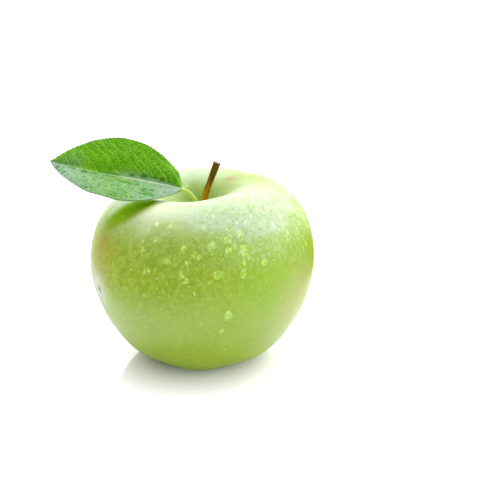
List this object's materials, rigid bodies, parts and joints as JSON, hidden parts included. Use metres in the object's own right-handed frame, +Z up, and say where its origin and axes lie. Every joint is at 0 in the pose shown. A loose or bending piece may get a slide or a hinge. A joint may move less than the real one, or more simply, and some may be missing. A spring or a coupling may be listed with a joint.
{
  "type": "green apple",
  "caption": "Green apple with a short leaning stem and a finely toothed leaf, standing on low lobes round its basin.",
  "frame": {"origin": "on the surface that the apple stands on, in the middle of the object's box", "axes": "+Z up, -Y towards the side that the picture shows, and the leaf points towards -X, so X is the longest extent"},
  "size_m": [0.0892, 0.0828, 0.0773],
  "materials": {
    "apple_skin": "waxy green apple skin, yellower towards the light side, with pale fine dots",
    "stem_bark": "dry brown stalk, paler at the cut end",
    "leaf_green": "fresh green leaf with a pale rib and veins, slightly glossy",
    "calyx_dry": "dried brown sepals, matte"
  },
  "bodies": {
    "root": {"fruit": "apple_skin", "stem": "stem_bark", "leaf": "leaf_green", "calyx": "calyx_dry"}
  },
  "joints": []
}
